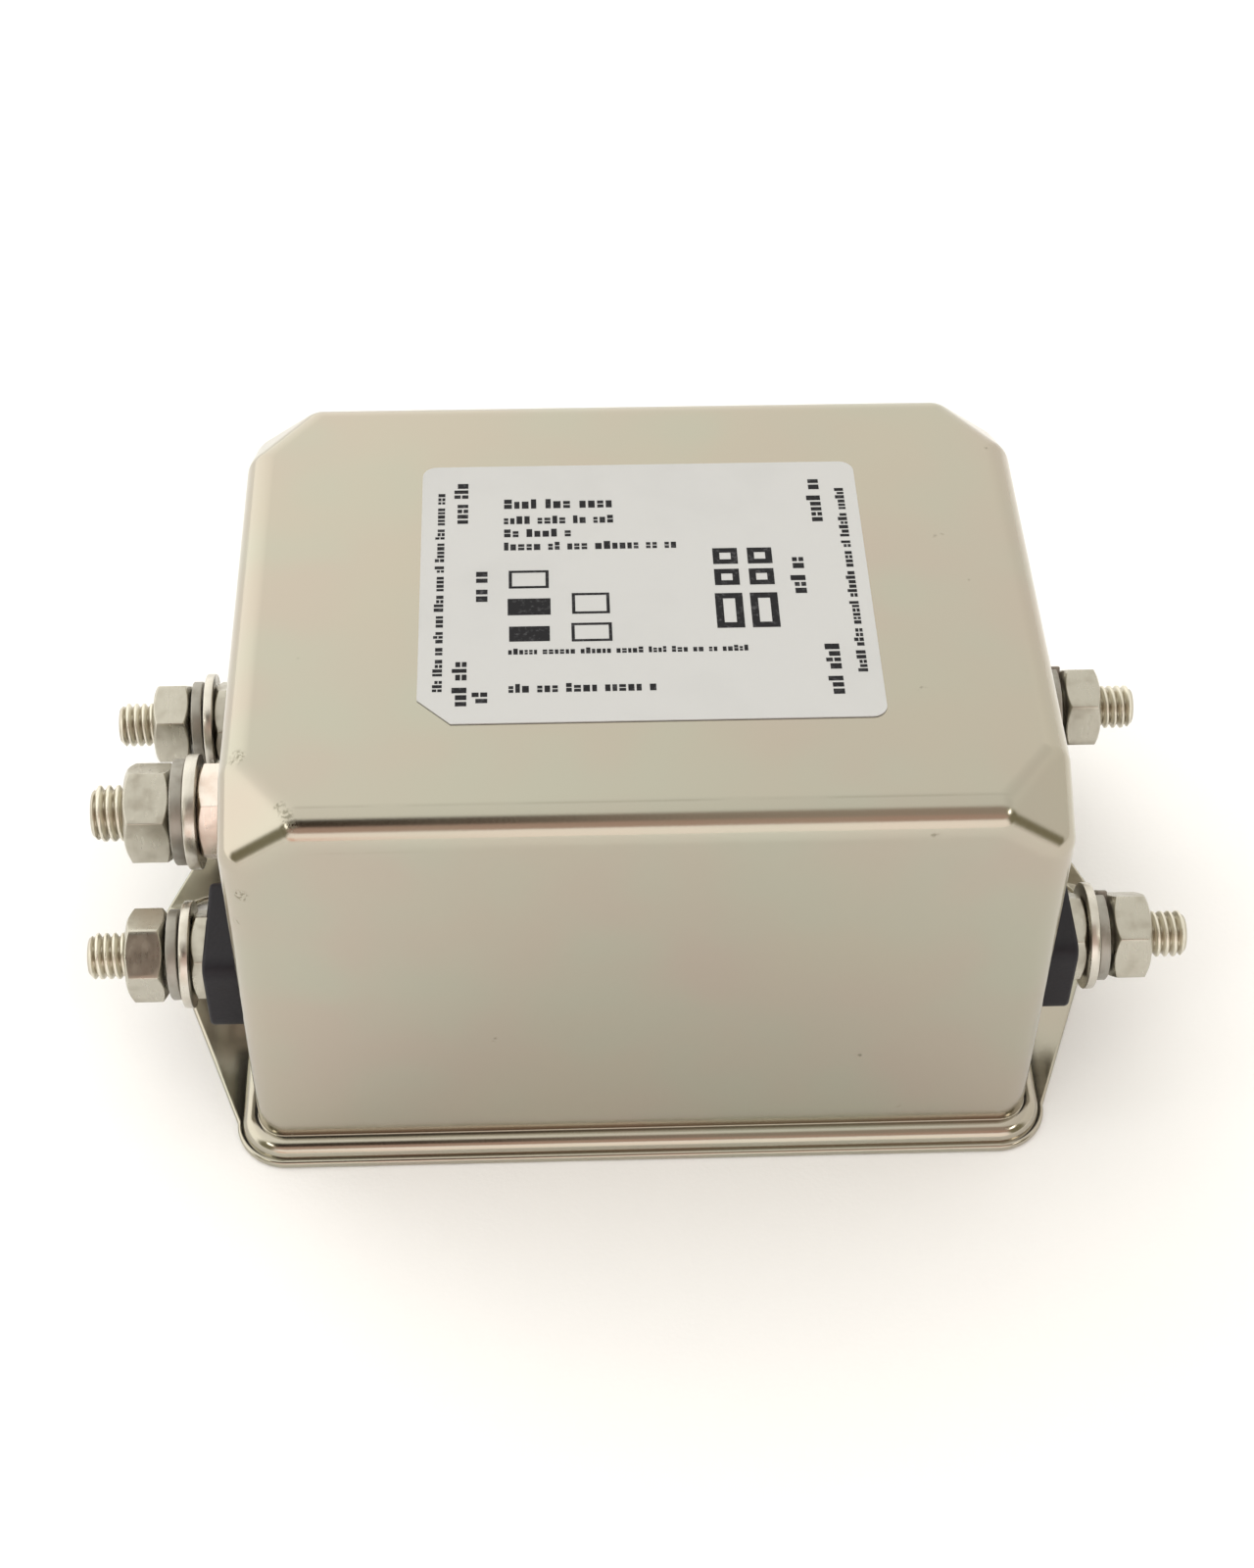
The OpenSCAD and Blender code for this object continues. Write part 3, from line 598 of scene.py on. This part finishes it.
def line_of_print(x, y, length, height, weight, upright=False):
    """Words of short blocks from a start point on the label, rightwards or upwards."""
    at = 0.0
    while at < length:
        letters = draw.randint(2, 6)
        for _ in range(letters):
            width = height * draw.uniform(0.42, 0.66)
            tall = height * draw.choice((0.76, 0.76, 0.76, 1.0))
            if at + width > length:
                return
            centre = at + width / 2
            rows = draw.choice((1, 1, 2))
            gap = height * 0.10
            part = (tall + gap) / rows
            for row in range(rows):
                rise = (row + 0.5) * part - gap / 2
                if upright:
                    stroke(x - rise, y + centre, part - gap, width * weight)
                else:
                    stroke(x + centre, y + rise, width * weight, part - gap)
            at += width + gap
        at += height * 0.5


def frame_mark(x, y, width, height, line):
    """An empty box, drawn as four lines about its middle."""
    for sign in (-1, 1):
        stroke(x, y + sign * (height - line) / 2, width, line)
        stroke(x + sign * (width - line) / 2, y, line, height - 2 * line)


for x, y, length, height in ((-11.3, 9.6, 9.6, 1.15), (-11.3, 7.7, 9.4, 0.95),
                             (-11.3, 6.1, 5.6, 0.95), (-11.3, 4.5, 14.6, 0.95),
                             (-11.0, -7.6, 18.8, 0.65), (-11.0, -11.8, 11.9, 0.95)):
    line_of_print(x, y, length, height, 0.86)
for x, y, length, height in ((-16.1, -11.6, 23.4, 0.75), (16.9, -10.2, 22.6, 0.75),
                             (-14.2, 7.8, 5.4, 1.15), (-14.2, -13.2, 5.4, 1.15),
                             (-12.6, -1.6, 4.0, 1.2), (-12.6, -12.9, 2.0, 1.2),
                             (14.9, 7.4, 5.6, 1.15), (14.9, -12.6, 5.8, 1.15),
                             (12.9, -1.2, 4.4, 1.2)):
    line_of_print(x, y, length, height, 0.84, upright=True)
for x, y, width, height in ((-9.3, 1.0, 3.2, 2.1), (-4.4, -1.9, 3.0, 2.4), (-4.4, -5.2, 3.2, 2.1)):
    frame_mark(x, y, width, height, 0.26)
stroke(-9.3, -2.2, 3.4, 1.9)
stroke(-9.3, -5.3, 3.2, 1.7)
for column in (6.6, 9.4):
    for row in (3.4, 0.9):
        frame_mark(column, row, 2.0, 1.9, 0.55)
    frame_mark(column, -3.0, 2.2, 4.0, 0.62)


def start_tree(name, inputs):
    """A new geometry tree with these inputs, each a name and a socket type."""
    tree = bpy.data.node_groups.new(name, "GeometryNodeTree")
    for title, kind in inputs.items():
        tree.interface.new_socket(title, in_out="INPUT", socket_type="NodeSocket" + kind)
    tree.interface.new_socket("Geometry", in_out="OUTPUT", socket_type="NodeSocketGeometry")
    flow = Flow(tree)
    entry = tree.nodes.new("NodeGroupInput")
    return flow, {n: Flow(tree, entry.outputs[n]) for n in inputs}


def end_tree(flow, geometry, material):
    """Closes a geometry tree: its instances made real and its material set."""
    real = flow.add("GeometryNodeRealizeInstances", None, {"Geometry": geometry})
    done = flow.add("GeometryNodeSetMaterial", None, {"Geometry": real, "Material": material})
    flow.add("NodeGroupOutput", None, {"Geometry": done})


def grown(name, mesh, flow, values):
    """Runs a geometry tree once over a mesh and keeps what it makes as a plain mesh."""
    piece = shown(name, mesh)
    modifier = piece.modifiers.new("growth", "NODES")
    modifier.node_group = flow.tree
    for socket in flow.tree.interface.items_tree:
        if socket.in_out == "INPUT" and socket.name in values:
            modifier[socket.identifier] = values[socket.name]
    settled(piece)
    return piece


def seeds(name, points, **vectors):
    """A mesh of loose points in metres, each with its own vectors as named attributes."""
    mesh = bpy.data.meshes.new(name)
    mesh.from_pydata(points, [], [])
    for attribute, values in vectors.items():
        layer = mesh.attributes.new(attribute, "FLOAT_VECTOR", "POINT")
        layer.data.foreach_set("vector", [part for value in values for part in value])
    return mesh


flow, given = start_tree("ink_blocks", {"Geometry": "Geometry", "Ink": "Material"})
block = flow.add("GeometryNodeMeshCube", None, {"Size": (1, 1, 1)})
size = flow.add("GeometryNodeInputNamedAttribute", {"data_type": "FLOAT_VECTOR"}, {"Name": "size"})
blocks = flow.add("GeometryNodeInstanceOnPoints", None, {"Points": given["Geometry"],
                                                         "Instance": block, "Scale": size})
end_tree(flow, blocks, given["Ink"])
label_middle = (label_low + label_high) / 2
ink_z = (label_high.z + ink_t / 2) * MM
print_seeds = seeds("label_print", [((label_middle.x + x) * MM, (label_middle.y + y) * MM, ink_z)
                                    for (x, y), _ in strokes],
                    size=[(w * MM, h * MM, ink_t * MM) for _, (w, h) in strokes])
ink_piece = grown("label_print", print_seeds, flow, {"Ink": ink})
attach(ink_piece, "root")


# ---------------------------------------------------------------- insulating blocks
# Black moulded blocks, one to a line or load stud. A neck on the back goes through the wall
# and a round recess in the front takes the thin nut.

block_low, block_high = (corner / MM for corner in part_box("insulator_load_phase"))
block_half = Vector((block_high.z - block_low.z, block_high.y - block_low.y)) / 2
block_t = block_high.x - case_half.x
block_r = 1.2
block_round = 0.35
largest_nut_af = 7.0
recess_r = largest_nut_af / 2 / math.cos(math.radians(30)) + fit
recess_t = 0.9


def block_radius(angle, inset):
    """From the middle of a block to its rounded outline, drawn in by the inset."""
    a, b = (half - inset for half in block_half)
    c, s = abs(math.cos(angle)), abs(math.sin(angle))
    r = block_r - inset
    if c > 0 and a / c * s <= b - r:
        return a / c
    if s > 0 and b / s * c <= a - r:
        return b / s
    along = c * (a - r) + s * (b - r)
    return along + math.sqrt(along ** 2 - (a - r) ** 2 - (b - r) ** 2 + r ** 2)


def turned(rows, count=96, closed=True, start=0.0):
    """Rings about Z from rows of radius and height, either of which may vary round the turn."""
    def at(value, angle):
        return value(angle) if callable(value) else value

    angles = [math.radians(start) + math.tau * i / count for i in range(count)]
    rings = [[Vector((at(radius, a) * math.cos(a), at(radius, a) * math.sin(a), at(height, a)))
              for a in angles] for radius, height in rows]
    body = ring_strip(rings, closed)
    if not closed:
        body.verts.ensure_lookup_table()
        body.faces.new(body.verts[:count])
        body.faces.new(body.verts[-count:])
    return body


def placed(body, matrix):
    """A copy of a body in millimetres at a place given in metres."""
    copy = body.copy()
    copy.transform(Matrix.Scale(1 / MM, 4) @ matrix @ Matrix.Scale(MM, 4))
    return copy


def finished(piece, material, crease=35, *modifiers):
    """Gives a piece its material, its modifiers and smooth shading up to the crease angle."""
    piece.data.materials.append(material)
    if modifiers:
        settled(piece, *modifiers)
    piece.data.shade_smooth()
    piece.data.set_sharp_from_angle(angle=math.radians(crease))
    settled(piece, ("WEIGHTED_NORMAL", {"keep_sharp": True}))
    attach(piece, "root")


moulded, place = start_material("black_moulding")
grain = place.spots(0.35, 3.0)
dust = place.spots(3.0, 5.0).above(0.52, 0.80)
end_material(place, {
    "Base Color": (dust * 0.15).blend((0.009, 0.008, 0.012, 1), (0.06, 0.055, 0.05, 1)),
    "Roughness": 0.46 + grain * 0.14 + dust * 0.12,
    "Specular IOR Level": 0.3,
}, grain + place.spots(2.5) * 0.8, 0.02)
stud_hole = stud_r + fit
rounding = [(block_round * (1 - math.sin(a)), block_round * (1 - math.cos(a)))
            for a in (math.radians(22.5 * step) for step in range(5))]
block_rows = [(stud_hole, -sheet_t), (neck_r, -sheet_t), (neck_r, 0),
              (lambda a: block_radius(a, 0), 0)]
for drop, inset in rounding:
    block_rows.append((lambda a, inset=inset: block_radius(a, inset), block_t - drop))
block_rows += [(lambda a: min(recess_r + 0.1, block_radius(a, 0.45)), block_t),
               (lambda a: min(recess_r, block_radius(a, 0.55)), block_t - 0.1),
               (lambda a: min(recess_r, block_radius(a, 0.55)), block_t - recess_t),
               (stud_hole, block_t - recess_t)]
for terminal, row in zip(terminals, ("line_phase", "line_neutral", "load_phase", "load_neutral")):
    block = shown("block_" + row, merged([placed(turned(block_rows), outward(*terminal))],
                                         "block_" + row))
    finished(block, moulded)
    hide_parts("insulator_" + row)


# ---------------------------------------------------------------- studs
# Steel studs with a rolled and plated thread, a flat head inside the can and a thin tail that
# the wires are soldered to. The thread is a ridge that climbs round the shank.

flow, given = start_tree("threaded_stud", {
    "Geometry": "Geometry", "Steel": "Material", "Radius": "Float", "Length": "Float",
    "Pitch": "Float", "Depth": "Float", "Rings": "Int", "Seat": "Float",
    "Head Radius": "Float", "Head Height": "Float", "Tail Radius": "Float", "Tail Length": "Float",
})
shank = flow.add("GeometryNodeMeshCylinder", {"fill_type": "TRIANGLE_FAN"}, {
    "Vertices": 36, "Side Segments": given["Rings"], "Radius": given["Radius"],
    "Depth": given["Length"]})
x, y, z = flow.add("GeometryNodeInputPosition").parts()
turn = y.math("ARCTAN2", x) / math.tau
steepness, root_flat = 2.6, 0.35
groove = ((z / given["Pitch"] - turn).math("FRACT") - 0.5).math("ABSOLUTE")
groove = (groove * steepness - root_flat).math("MAXIMUM", 0.0).math("MINIMUM", 1.0)
tip = z - (given["Length"] * 0.5 - given["Depth"])
cone = tip.math("MAXIMUM", 0.0)
ridge = 1 - (groove * given["Depth"]).math("MAXIMUM", cone) / given["Radius"]
spot = flow.add("ShaderNodeCombineXYZ", None, {"X": x * ridge, "Y": y * ridge, "Z": z})
thread = flow.add("GeometryNodeSetPosition", None, {"Geometry": shank, "Position": spot})
lift = flow.add("ShaderNodeCombineXYZ", None, {"Z": given["Length"] * 0.5 - given["Seat"]})
parts = [flow.add("GeometryNodeTransform", None, {"Geometry": thread, "Translation": lift})]
under = given["Seat"] * -1.0
for radius, height in (("Head Radius", "Head Height"), ("Tail Radius", "Tail Length")):
    blank = flow.add("GeometryNodeMeshCylinder", None, {
        "Vertices": 48, "Radius": given[radius], "Depth": given[height]})
    lift = flow.add("ShaderNodeCombineXYZ", None, {"Z": under - given[height] * 0.5})
    parts.append(flow.add("GeometryNodeTransform", None, {"Geometry": blank, "Translation": lift}))
    under = under - given[height]
stud = flow.add("GeometryNodeJoinGeometry", None, {"Geometry": parts})
aim = flow.add("GeometryNodeInputNamedAttribute", {"data_type": "FLOAT_VECTOR"}, {"Name": "aim"})
studs = flow.add("GeometryNodeInstanceOnPoints", None, {"Points": given["Geometry"],
                                                        "Instance": stud, "Rotation": aim})
end_tree(flow, studs, given["Steel"])
stud_flow = flow


def thread_steel(name, y, z, root_r, crest_r):
    """Plated thread about studs at plus and minus y: bright crests, and painted shade that darkens
    the roots.
    """
    material, place = start_material(name)
    _, across, up = place.parts()
    beside = across.math("ABSOLUTE") - y * MM
    above = up - z * MM
    out = (beside * beside + above * above).math("SQRT")
    crest = out.above(root_r * MM, crest_r * MM)
    wear = place.spots(0.8, 3.0)
    # Painted shade: the roots of the thread are coloured darker than the crests by their distance
    # from the stud's axis, with a little noise in it.
    painted_root_shade = (1 - crest) * (0.55 + wear * 0.6)
    end_material(place, {
        "Base Color": painted_root_shade.math("MINIMUM", 1.0).blend((0.72, 0.69, 0.59, 1), (0.42, 0.38, 0.30, 1)),
        "Metallic": 1.0,
        "Roughness": 0.30 + wear * 0.16,
    }, wear, 0.02)
    return material


def threaded(name, places, steel, sizes):
    """Grows one or more studs at their places on the side walls, sizes in millimetres."""
    aims = [(0.0, place[0] * math.pi / 2, 0.0) for place in places]
    roots = [outward(*place).translation for place in places]
    values = {key: value * MM for key, value in sizes.items()}
    values["Rings"] = round(8 * sizes["Length"] / sizes["Pitch"])
    values["Steel"] = steel
    piece = grown(name, seeds(name, roots, aim=aims), stud_flow, values)
    piece.data.shade_smooth()
    piece.data.set_sharp_from_angle(angle=math.radians(50))
    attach(piece, "root")
    return piece


stud_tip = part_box("terminal_studs")[1].x / MM - case_half.x
stud_seat, head_h, tail_l = 2.7, 2.2, 3.0
stud_steel = thread_steel("stud_thread", terminals[0][1], terminals[0][2], 1.53, 1.90)
terminal_studs = threaded("stud_threads", terminals, stud_steel, {
    "Radius": 1.94, "Length": stud_tip + stud_seat, "Pitch": 0.7, "Depth": 0.42, "Seat": stud_seat,
    "Head Radius": 4.0, "Head Height": head_h, "Tail Radius": 1.5, "Tail Length": tail_l})
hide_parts("terminal_studs")

earth_tip = -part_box("earth_stud")[0].x / MM - case_half.x
earth_steel = thread_steel("earth_thread", 0.0, earth[2], 1.96, 2.38)
earth_stud = threaded("earth_stud_thread", [earth], earth_steel, {
    "Radius": 2.43, "Length": earth_tip + sheet_t, "Pitch": 0.8, "Depth": 0.49, "Seat": sheet_t,
    "Head Radius": 4.5, "Head Height": 2.5, "Tail Radius": 1.5, "Tail Length": tail_l})
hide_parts("earth_stud")


# ---------------------------------------------------------------- nuts
# Plated hexagon nuts, chamfered on both faces: a thin one in each block's recess, a thick one
# outside the washers, and two larger ones on the earth stud, the inner one brighter.

def nut_steel(name, bright, dull, sheen=0.24):
    """Barrel-plated steel with soft dents and a trace of tarnish."""
    material, place = start_material(name)
    tarnish = place.spots(1.8, 4.0).above(0.45, 0.72)
    tool = place.spots(0.30, 2.0, stretch=(1.0, 0.15, 0.15))
    end_material(place, {
        "Base Color": (tarnish * 0.55).blend(bright, dull),
        "Metallic": 1.0,
        "Roughness": sheen + tarnish * 0.14 + tool * 0.08,
    }, tool * 0.5 + place.spots(1.3, 2.0), 0.03)
    return material


def nut_body(flats, height, bore, turn):
    """A hexagon nut that stands on Z = 0, with a corner at this turn from its X axis."""
    face = flats / 2 * 0.94

    def edge(angle):
        lean = (math.degrees(angle) - turn) % 60 - 30
        return flats / 2 / math.cos(math.radians(lean))

    def fall(angle):
        return max(edge(angle) - face, 0) * math.tan(math.radians(30))

    sink = 0.35
    rows = [(bore, sink), (bore + sink, 0), (face, 0), (edge, fall),
            (edge, lambda a: height - fall(a)), (face, height), (bore + sink, height),
            (bore, height - sink)]
    return turned(rows, count=72, start=turn)


def hardware(name, node, bodies, material, bevel=0.07):
    """One piece from bodies at their places, with broken edges, that stands for a node."""
    piece = shown(name, merged([placed(body, place) for body, place in bodies], name))
    finished(piece, material, 30, ("BEVEL", {"width": bevel * MM, "segments": 2,
                                             "limit_method": "ANGLE",
                                             "angle_limit": math.radians(25)}))
    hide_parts(node)


plated_nut = nut_steel("plated_nut", (0.485, 0.465, 0.40, 1), (0.37, 0.34, 0.28, 1))
nut_af, bore_r = 6.84, 1.78
thin_nut_z, thin_nut_h = block_t - recess_t, 2.2
washer_z = thin_nut_z + thin_nut_h
washer_t = 0.8
spring_z = washer_z + washer_t
spring_h = 1.4
nut_z, nut_h = spring_z + spring_h, 3.2
nut_turns = (16, -9, -16, -14)
thin_nut_turns = (3, 10, -6, -12)
hardware("terminal_nut_set", "terminal_nuts",
         [(nut_body(nut_af, nut_h, bore_r, turn), outward(*t, nut_z))
          for t, turn in zip(terminals, nut_turns)], plated_nut)
hardware("thin_nut_set", "thin_nuts",
         [(nut_body(nut_af, thin_nut_h, bore_r, turn), outward(*t, thin_nut_z))
          for t, turn in zip(terminals, thin_nut_turns)], plated_nut)
earth_af, earth_bore, earth_nut_h = 7.84, 2.225, 4.0
tooth_t = 1.0
earth_washer_z, earth_washer_t = tooth_t + earth_nut_h, 1.1
earth_spring_z = earth_washer_z + earth_washer_t
earth_spring_h = 1.2
earth_nut_z = earth_spring_z + earth_spring_h
hardware("earth_outer_nut", "earth_nut",
         [(nut_body(earth_af, earth_nut_h, earth_bore, 5), outward(*earth, earth_nut_z))],
         plated_nut)
hardware("earth_lower_nut", "earth_inner_nut",
         [(nut_body(earth_af, earth_nut_h, earth_bore, 23), outward(*earth, tooth_t))],
         nut_steel("bright_nut", (0.84, 0.76, 0.69, 1), (0.72, 0.57, 0.48, 1)))


# ---------------------------------------------------------------- washers
# Stamped flat washers with one edge rolled over, and spring washers wound from square wire
# and cut across, whose ends stand a little apart.

def flat_body(outer_r, hole_r, thickness):
    """A washer that stands on Z = 0, stamped from below."""
    soft = 0.16
    return turned([(hole_r, 0.05), (hole_r + 0.05, 0), (outer_r - 0.05, 0), (outer_r, 0.05),
                   (outer_r, thickness - soft), (outer_r - soft * 0.3, thickness - soft * 0.3),
                   (outer_r - soft, thickness), (hole_r + soft, thickness),
                   (hole_r, thickness - soft)])


def spring_body(outer_r, hole_r, thickness, rise):
    """One turn of square wire that climbs by the rise. Its gap and split are in degrees."""
    steps, gap, split, soft = 90, 14, 150, 0.08
    section = [(hole_r + soft, 0), (outer_r - soft, 0), (outer_r, soft),
               (outer_r, thickness - soft), (outer_r - soft, thickness),
               (hole_r + soft, thickness), (hole_r, thickness - soft), (hole_r, soft)]
    rings = []
    for step in range(steps + 1):
        a = math.radians(split + gap / 2 + (360 - gap) * step / steps)
        rings.append([Vector((r * math.cos(a), r * math.sin(a), z + rise * step / steps))
                      for r, z in section])
    body = ring_strip(rings)
    body.verts.ensure_lookup_table()
    body.faces.new(body.verts[:len(section)])
    body.faces.new(body.verts[-len(section):])
    return body


washer_steel = nut_steel("bright_washer", (0.61, 0.585, 0.525, 1), (0.49, 0.46, 0.385, 1))
spring_steel = nut_steel("grey_spring", (0.36, 0.345, 0.31, 1), (0.27, 0.25, 0.215, 1), 0.42)
washer_edge = 0.02
washer_r, washer_hole = 4.5, 2.15
spring_r, spring_hole, wire_t = 3.8, 2.1, 0.9
hardware("flat_washer_set", "flat_washers",
         [(flat_body(washer_r, washer_hole, washer_t), outward(*t, washer_z))
          for t in terminals], washer_steel, washer_edge)
hardware("spring_washer_set", "spring_washers",
         [(spring_body(spring_r, spring_hole, wire_t, spring_h - wire_t), outward(*t, spring_z))
          for t in terminals], spring_steel, washer_edge)

earth_washer_r, earth_washer_hole = 5.0, 2.65
earth_spring_r, earth_spring_hole, earth_wire_t = 4.6, 2.6, 1.1
hardware("earth_plain_washer", "earth_flat_washer",
         [(flat_body(earth_washer_r, earth_washer_hole, earth_washer_t),
           outward(*earth, earth_washer_z))], washer_steel, washer_edge)
hardware("earth_split_washer", "earth_spring_washer",
         [(spring_body(earth_spring_r, earth_spring_hole, earth_wire_t,
                       earth_spring_h - earth_wire_t),
           outward(*earth, earth_spring_z))], spring_steel, washer_edge)


# ---------------------------------------------------------------- toothed earth washer
# A hardened washer whose twisted teeth bite through the plating, under the earth stud's
# inner nut. Its shape is already in the frame and only takes its finish here.

def dressed(material, *nodes):
    """Gives nodes of the frame a finish of their own."""
    for node in nodes:
        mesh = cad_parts[node].data
        mesh.materials.clear()
        mesh.materials.append(material)


dressed(spring_steel, "earth_tooth_washer")


# ---------------------------------------------------------------- parts inside the can
# Bushes, the choke with its two windings, the capacitors and the resistor, all cast into
# dark compound. The frame already has their shapes, and each takes the finish of its stuff.

def cast_finish(name, light, dark, size, roughness, relief=0.02, metallic=0.0):
    """A mottled finish with a grain of about this size in millimetres."""
    material, place = start_material(name)
    mottle = place.spots(size, 4.0)
    fine = place.spots(size / 6, 2.0)
    end_material(place, {
        "Base Color": mottle.above(0.35, 0.65).blend(light, dark),
        "Metallic": metallic,
        "Roughness": roughness - 0.08 + mottle * 0.16,
    }, fine + mottle, relief)
    return material


dressed(cast_finish("nylon_bush", (0.72, 0.68, 0.54, 1), (0.64, 0.60, 0.46, 1), 2.0, 0.45),
        "inner_bushes", "choke_divider")
dressed(cast_finish("ferrite", (0.035, 0.037, 0.04, 1), (0.06, 0.062, 0.066, 1), 0.8, 0.62, 0.05),
        "choke_core")
dressed(cast_finish("enamelled_copper", (0.52, 0.20, 0.07, 1), (0.38, 0.13, 0.045, 1), 1.5, 0.28,
                    0.01, 0.85), "choke_winding_phase", "choke_winding_neutral")
dressed(cast_finish("film_capacitor", (0.76, 0.60, 0.07, 1), (0.70, 0.54, 0.06, 1), 1.0, 0.5),
        "x_capacitor_line", "x_capacitor_load")
dressed(cast_finish("disc_capacitor", (0.04, 0.15, 0.48, 1), (0.03, 0.12, 0.40, 1), 0.9, 0.38),
        "y_capacitor_phase", "y_capacitor_neutral")
dressed(cast_finish("resistor_coat", (0.20, 0.38, 0.55, 1), (0.17, 0.33, 0.49, 1), 0.7, 0.42),
        "bleed_resistor")
dressed(cast_finish("potting_compound", (0.022, 0.02, 0.018, 1), (0.045, 0.04, 0.034, 1), 3.0, 0.5,
                    0.1), "potting")
